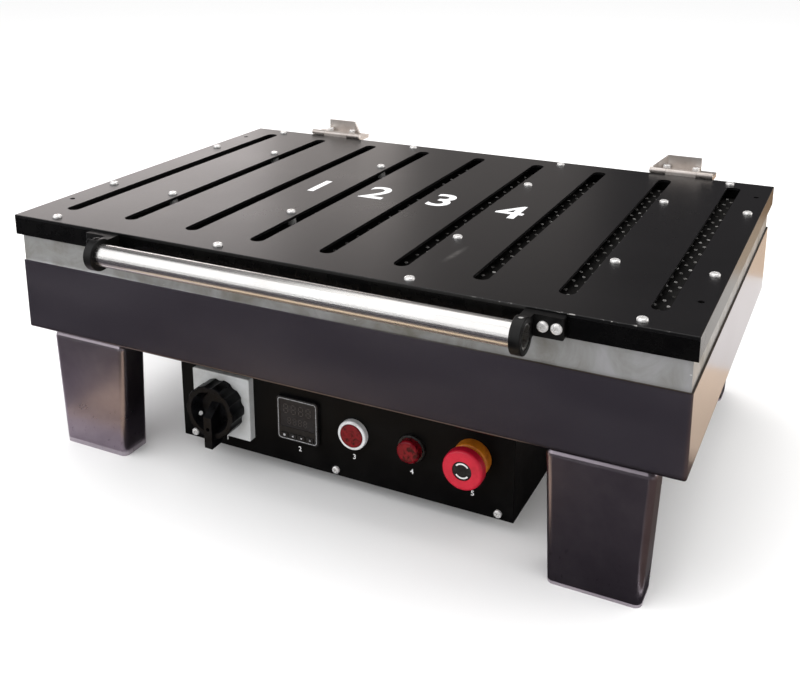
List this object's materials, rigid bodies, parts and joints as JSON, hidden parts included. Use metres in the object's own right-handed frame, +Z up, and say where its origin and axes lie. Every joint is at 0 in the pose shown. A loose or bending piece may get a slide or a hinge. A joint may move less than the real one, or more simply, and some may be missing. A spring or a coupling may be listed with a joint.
{
  "type": "bench-top reflow oven",
  "caption": "Low bench-top reflow oven: stainless case on legs, black slotted lid hinged at the rear with a tube handle, and a control box below with switch, controller, button, lamp and stop",
  "frame": {"origin": "middle of the overall box at the level of the floor the legs stand on", "axes": "+Z up, +X to the right as the user faces the panel, +Y from the handle to the hinges"},
  "size_m": [0.7, 0.531, 0.2779],
  "materials": {
    "lid_black": "black anodised, satin",
    "baffle_black": "matt black heat-proof paint",
    "case_stainless": "satin stainless sheet",
    "leg_stainless": "satin stainless sheet",
    "band_galvanised": "mottled galvanised sheet",
    "seal_rubber": "matt silicone rubber",
    "fibre_board": "fibrous off-white board",
    "plate_aluminium": "milled aluminium",
    "heater_steel": "heat-tinted steel",
    "ceramic": "unglazed ceramic",
    "bright_screws": "bright stainless",
    "hinge_stainless": "satin stainless",
    "handle_tube": "satin drawn tube",
    "handle_bracket": "black coated casting",
    "box_black": "black powder coat, semi-matt",
    "switch_grey": "light grey moulded plastic",
    "switch_black": "black moulded plastic",
    "controller_black": "black moulded plastic",
    "controller_window": "dark glossy window",
    "button_white": "white moulded plastic",
    "lens_red": "clear red plastic",
    "lamp_ring": "dark moulded plastic",
    "stop_orange": "yellow-orange plastic",
    "stop_red": "red moulded plastic",
    "stop_shaft": "black plastic",
    "inner_plastic": "black moulded plastic",
    "terminal_white": "off-white plastic"
  },
  "bodies": {
    "base": {"base_case": "case_stainless", "front_left_leg": "leg_stainless", "front_right_leg": "leg_stainless", "rear_left_leg": "leg_stainless", "rear_right_leg": "leg_stainless", "leg_foot_plates": "leg_stainless", "chamber_band": "band_galvanised", "lid_seal": "seal_rubber", "wire_grommet": "seal_rubber", "insulation_boards": "fibre_board", "heater_plate": "plate_aluminium", "relay_heat_sink": "plate_aluminium", "heating_elements": "heater_steel", "thermocouple": "heater_steel", "overheat_thermostat": "heater_steel", "plate_standoffs": "ceramic", "plate_screws": "bright_screws", "panel_screws": "bright_screws", "hinge_screws": "bright_screws", "hinge_pins": "bright_screws", "base_hinge_leaves": "hinge_stainless", "hinge_carriers": "hinge_stainless", "lid_rests": "hinge_stainless", "control_box": "box_black", "control_panel": "box_black", "switch_plate": "switch_grey", "controller_housing": "controller_black", "controller_window": "controller_window", "heat_button_ring": "button_white", "alarm_lamp_lens": "lens_red", "alarm_lamp_ring": "lamp_ring", "stop_collar": "stop_orange", "main_switch_body": "inner_plastic", "contact_blocks": "inner_plastic", "lock_nuts": "inner_plastic", "heater_relay": "inner_plastic", "cable_gland": "inner_plastic", "terminal_block": "terminal_white"},
    "switch_knob": {"main_switch_knob": "switch_black"},
    "heat_button": {"heat_button_cap": "lens_red"},
    "key_1": {"controller_key_1": "controller_black"},
    "key_2": {"controller_key_2": "controller_black"},
    "key_3": {"controller_key_3": "controller_black"},
    "key_4": {"controller_key_4": "controller_black"},
    "stop_push": {"stop_plunger": "stop_shaft"},
    "stop_turn": {"stop_head": "stop_red"},
    "lid": {"lid_top_plate": "lid_black", "lid_long_rails": "lid_black", "lid_side_rails": "lid_black", "baffle_plate": "baffle_black", "baffle_spacers": "bright_screws", "lid_screws": "bright_screws", "baffle_screws": "bright_screws", "baffle_nuts": "bright_screws", "handle_tube": "handle_tube", "handle_bracket_left": "handle_bracket", "handle_bracket_right": "handle_bracket", "handle_screws": "bright_screws", "lid_hinge_leaves": "hinge_stainless"}
  },
  "joints": [
    {"name": "lid_hinge", "type": "hinge", "parent": "base", "child": "lid", "pos_m": [0, 0.2392, 0.2624], "axis": [-1, 0, 0], "range_deg": [0, 145]},
    {"name": "main_switch_turn", "type": "hinge", "parent": "base", "child": "switch_knob", "pos_m": [-0.1316, -0.192, 0.0696], "axis": [0, 1, 0], "range_deg": [0, 90]},
    {"name": "heat_button_press", "type": "slide", "parent": "base", "child": "heat_button", "axis": [0, 1, 0], "range_m": [0, 0.003], "stiffness_N_per_m": 300},
    {"name": "key_1_press", "type": "slide", "parent": "base", "child": "key_1", "axis": [0, 1, 0], "range_m": [0, 0.0006], "stiffness_N_per_m": 800},
    {"name": "key_2_press", "type": "slide", "parent": "base", "child": "key_2", "axis": [0, 1, 0], "range_m": [0, 0.0006], "stiffness_N_per_m": 800},
    {"name": "key_3_press", "type": "slide", "parent": "base", "child": "key_3", "axis": [0, 1, 0], "range_m": [0, 0.0006], "stiffness_N_per_m": 800},
    {"name": "key_4_press", "type": "slide", "parent": "base", "child": "key_4", "axis": [0, 1, 0], "range_m": [0, 0.0006], "stiffness_N_per_m": 800},
    {"name": "stop_press", "type": "slide", "parent": "base", "child": "stop_push", "axis": [0, 1, 0], "range_m": [0, 0.006], "stiffness_N_per_m": 500},
    {"name": "stop_twist", "type": "hinge", "parent": "stop_push", "child": "stop_turn", "pos_m": [0.147, -0.192, 0.0766], "axis": [0, 1, 0], "range_deg": [0, 35], "stiffness_Nm_per_rad": 0.05}
  ]
}
